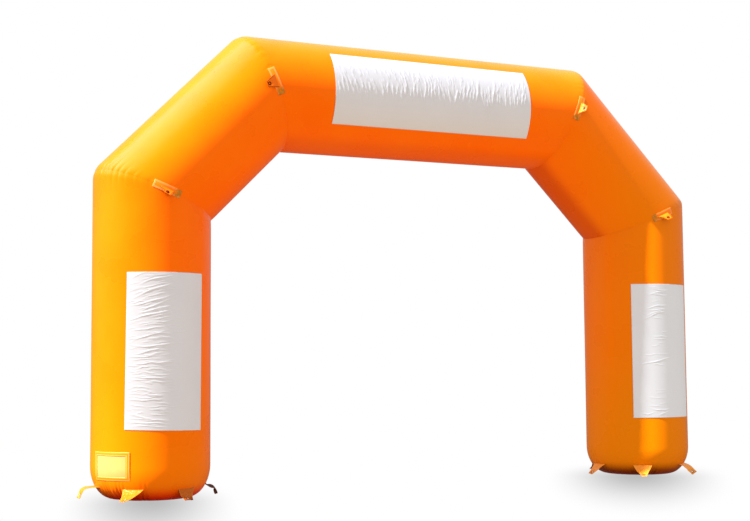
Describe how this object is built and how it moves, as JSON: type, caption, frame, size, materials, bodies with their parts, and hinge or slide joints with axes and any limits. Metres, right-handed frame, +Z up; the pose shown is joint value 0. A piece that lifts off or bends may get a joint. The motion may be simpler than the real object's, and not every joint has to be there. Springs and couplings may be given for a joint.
{
  "type": "inflatable arch",
  "caption": "Free-standing inflatable arch of air-filled coated cloth, with blank banner panels, guy flaps on its mitres and anchor tabs round its feet, for people to pass under.",
  "frame": {"origin": "on the ground, midway between the two feet and at the middle of the tube from front to back", "axes": "+Z up, +X along the width from the left leg to the right leg as seen from the front, -Y out of the front, where the banners are"},
  "size_m": [6.1822, 1.0694, 4],
  "materials": {
    "tube": "glossy orange coated cloth",
    "banner": "semi-gloss white sheet, blank and wrinkled",
    "pocket": "glossy orange coated cloth, welded",
    "card": "pale yellow card, blank",
    "patch": "glossy orange coated cloth, welded",
    "flap": "coated cloth, yellow-orange",
    "tab": "coated cloth, yellow-orange",
    "eyelet": "dull plated metal"
  },
  "bodies": {
    "root": {"leg_left": "tube", "shoulder_left": "tube", "crossbar": "tube", "shoulder_right": "tube", "leg_right": "tube", "banner_left": "banner", "banner_right": "banner", "banner_top": "banner", "label_pocket": "pocket", "label_card": "card", "patch_left_low": "patch", "patch_left_high": "patch", "patch_right_high": "patch", "patch_right_low": "patch", "flap_left_low": "flap", "flap_left_high": "flap", "flap_right_high": "flap", "flap_right_low": "flap", "tab_left_outer": "tab", "tab_left_front_outer": "tab", "tab_left_front_inner": "tab", "tab_left_inner": "tab", "tab_left_back_inner": "tab", "tab_left_back_outer": "tab", "tab_right_inner": "tab", "tab_right_front_inner": "tab", "tab_right_front_outer": "tab", "tab_right_outer": "tab", "tab_right_back_outer": "tab", "tab_right_back_inner": "tab", "eyelet_left_low": "eyelet", "eyelet_left_high": "eyelet", "eyelet_right_high": "eyelet", "eyelet_right_low": "eyelet", "eyelet_foot_left_outer": "eyelet", "eyelet_foot_left_front_outer": "eyelet", "eyelet_foot_left_front_inner": "eyelet", "eyelet_foot_left_inner": "eyelet", "eyelet_foot_left_back_inner": "eyelet", "eyelet_foot_left_back_outer": "eyelet", "eyelet_foot_right_inner": "eyelet", "eyelet_foot_right_front_inner": "eyelet", "eyelet_foot_right_front_outer": "eyelet", "eyelet_foot_right_outer": "eyelet", "eyelet_foot_right_back_outer": "eyelet", "eyelet_foot_right_back_inner": "eyelet"}
  },
  "joints": []
}
